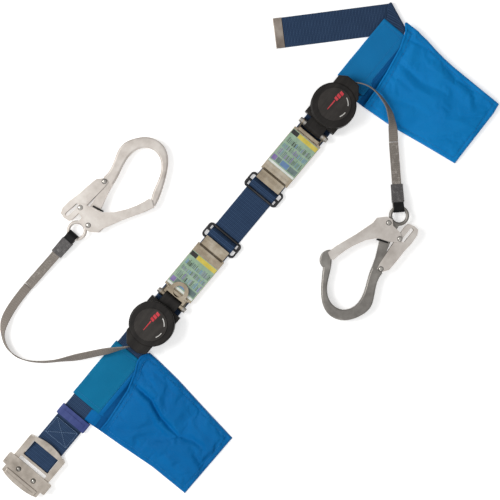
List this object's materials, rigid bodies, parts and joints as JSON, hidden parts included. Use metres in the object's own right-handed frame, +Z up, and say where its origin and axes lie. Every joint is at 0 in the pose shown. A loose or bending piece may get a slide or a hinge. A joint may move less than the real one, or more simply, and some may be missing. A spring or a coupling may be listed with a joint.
{
  "type": "retractable shock absorbing lanyard belt",
  "caption": "Waist belt for working at height with retractable shock absorbing lanyards, large snap hooks and hook pouches, laid out flat.",
  "frame": {"origin": "middle of the back webbing between the two adjusters, on the underside that lies on the surface", "axes": "+X along the belt from the buckle to the folded free end, +Z up from the surface, +Y across the belt away from the pouches"},
  "size_m": [1.0039, 0.4923, 0.0346],
  "materials": {
    "belt_webbing": "woven",
    "lanyard_webbing": "woven",
    "tear_webbing": "woven",
    "pouch_cloth": "woven nylon",
    "grey_cover": "woven",
    "black_cover": "satin",
    "keeper_plastic": "satin",
    "reel_plastic": "satin",
    "badge_plastic": "matt",
    "stainless": "brushed",
    "adjuster_steel": "black gloss",
    "bright_steel": "polished",
    "hook_light": "satin",
    "hook_dark": "satin",
    "hook_plate": "satin",
    "spring_steel": "plain",
    "label_print": "printed",
    "tip_metal": "worn",
    "buckle_metal": "satin"
  },
  "bodies": {
    "belt": {"waist_belt": "belt_webbing", "belt_tip": "tip_metal", "buckle_frame": "buckle_metal", "left_adjuster": "adjuster_steel", "left_absorber_case": "stainless", "left_absorber_lid": "stainless", "left_absorber_label": "label_print", "left_tear_pack": "tear_webbing", "left_hinge_pin": "bright_steel", "left_lanyard": "lanyard_webbing", "left_strap_loop": "lanyard_webbing", "left_strap_sleeve": "grey_cover", "left_loop_guard": "black_cover", "right_adjuster": "adjuster_steel", "right_absorber_case": "stainless", "right_absorber_lid": "stainless", "right_absorber_label": "label_print", "right_tear_pack": "tear_webbing", "right_hinge_pin": "bright_steel", "right_lanyard": "lanyard_webbing", "right_strap_loop": "lanyard_webbing", "right_strap_sleeve": "grey_cover", "right_loop_guard": "black_cover"},
    "buckle_slide": {"buckle_slider": "buckle_metal"},
    "keeper": {"belt_keeper": "keeper_plastic"},
    "eye": {"eye_ring": "stainless"},
    "left_reel": {"left_reel_base": "reel_plastic", "left_reel_cover": "reel_plastic", "left_reel_badge": "badge_plastic", "left_reel_pins": "bright_steel", "left_reel_screws": "bright_steel", "left_lead_webbing": "lanyard_webbing", "left_mainspring": "spring_steel"},
    "left_drum": {"left_spool": "reel_plastic", "left_wound_webbing": "lanyard_webbing"},
    "left_lock_pawl": {"left_pawl": "spring_steel"},
    "left_hook": {"left_hook_body": "hook_light", "left_hook_rivets": "bright_steel", "left_gate_spring": "spring_steel"},
    "left_gate": {"left_hook_gate": "hook_plate"},
    "left_lever": {"left_hook_lever": "hook_plate"},
    "left_pouch": {"left_pouch_back": "pouch_cloth", "left_pouch_front": "pouch_cloth"},
    "right_reel": {"right_reel_base": "reel_plastic", "right_reel_cover": "reel_plastic", "right_reel_badge": "badge_plastic", "right_reel_pins": "bright_steel", "right_reel_screws": "bright_steel", "right_lead_webbing": "lanyard_webbing", "right_mainspring": "spring_steel"},
    "right_drum": {"right_spool": "reel_plastic", "right_wound_webbing": "lanyard_webbing"},
    "right_lock_pawl": {"right_pawl": "spring_steel"},
    "right_hook": {"right_hook_body": "hook_dark", "right_hook_rivets": "bright_steel", "right_gate_spring": "spring_steel"},
    "right_gate": {"right_hook_gate": "hook_plate"},
    "right_lever": {"right_hook_lever": "hook_plate"},
    "right_pouch": {"right_pouch_back": "pouch_cloth", "right_pouch_front": "pouch_cloth"}
  },
  "joints": [
    {"name": "buckle_release", "type": "slide", "parent": "belt", "child": "buckle_slide", "axis": [1, 0, 0], "range_m": [0, 0.005], "stiffness_N_per_m": 150, "springref_m": -0.002},
    {"name": "keeper_slide", "type": "slide", "parent": "belt", "child": "keeper", "axis": [1, 0, 0], "range_m": [-0.004, 0.006]},
    {"name": "eye_flip", "type": "hinge", "parent": "belt", "child": "eye", "pos_m": [-0.1815, 0, 0.012], "axis": [0, -1, 0], "range_deg": [0, 35]},
    {"name": "left_pouch_slide", "type": "slide", "parent": "belt", "child": "left_pouch", "axis": [1, 0, 0], "range_m": [-0.012, 0]},
    {"name": "right_pouch_slide", "type": "slide", "parent": "belt", "child": "right_pouch", "axis": [0.9994, 0, 0.0347], "range_m": [-0.001, 0.003]},
    {"name": "left_reel_hinge", "type": "hinge", "parent": "belt", "child": "left_reel", "pos_m": [-0.1815, 0, 0.012], "axis": [0, 1, 0], "range_deg": [0, 60]},
    {"name": "left_spool_spin", "type": "hinge", "parent": "left_reel", "child": "left_drum", "pos_m": [-0.2313, 0, 0.02], "axis": [0, 0, 1], "continuous": true},
    {"name": "left_pawl_swing", "type": "hinge", "parent": "left_reel", "child": "left_lock_pawl", "pos_m": [-0.2713, -0.018, 0.0116], "axis": [0, 0, 1], "range_deg": [-2, 8]},
    {"name": "left_hook_swing", "type": "hinge", "parent": "belt", "child": "left_hook", "pos_m": [-0.20789, 0.19291, 0.01], "axis": [-0.0297, -0.9996, 0], "range_deg": [0, 60]},
    {"name": "left_gate_swing", "type": "hinge", "parent": "left_hook", "child": "left_gate", "pos_m": [-0.175, 0.183, 0.01], "axis": [0, 0, 1], "range_deg": [0, 20], "stiffness_Nm_per_rad": 0.25, "springref_deg": -17.19},
    {"name": "left_lever_squeeze", "type": "hinge", "parent": "left_hook", "child": "left_lever", "pos_m": [-0.103, 0.209, 0.01], "axis": [0, 0, 1], "range_deg": [0, 6], "stiffness_Nm_per_rad": 0.3, "springref_deg": -17.19},
    {"name": "right_reel_hinge", "type": "hinge", "parent": "belt", "child": "right_reel", "pos_m": [0.1815, 0, 0.012], "axis": [0, -1, 0], "range_deg": [0, 60]},
    {"name": "right_spool_spin", "type": "hinge", "parent": "right_reel", "child": "right_drum", "pos_m": [0.2313, 0, 0.02], "axis": [0, 0, 1], "continuous": true},
    {"name": "right_pawl_swing", "type": "hinge", "parent": "right_reel", "child": "right_lock_pawl", "pos_m": [0.2713, 0.018, 0.0116], "axis": [0, 0, 1], "range_deg": [-2, 8]},
    {"name": "right_hook_swing", "type": "hinge", "parent": "belt", "child": "right_hook", "pos_m": [0.17338, -0.18823, 0.01], "axis": [-0.6959, 0.7181, 0], "range_deg": [0, 60]},
    {"name": "right_gate_swing", "type": "hinge", "parent": "right_hook", "child": "right_gate", "pos_m": [0.143, -0.19199, 0.01], "axis": [0, 0, 1], "range_deg": [0, 20], "stiffness_Nm_per_rad": 0.25, "springref_deg": -17.19},
    {"name": "right_lever_squeeze", "type": "hinge", "parent": "right_hook", "child": "right_lever", "pos_m": [0.07687, -0.23056, 0.01], "axis": [0, 0, 1], "range_deg": [0, 6], "stiffness_Nm_per_rad": 0.3, "springref_deg": -17.19}
  ]
}
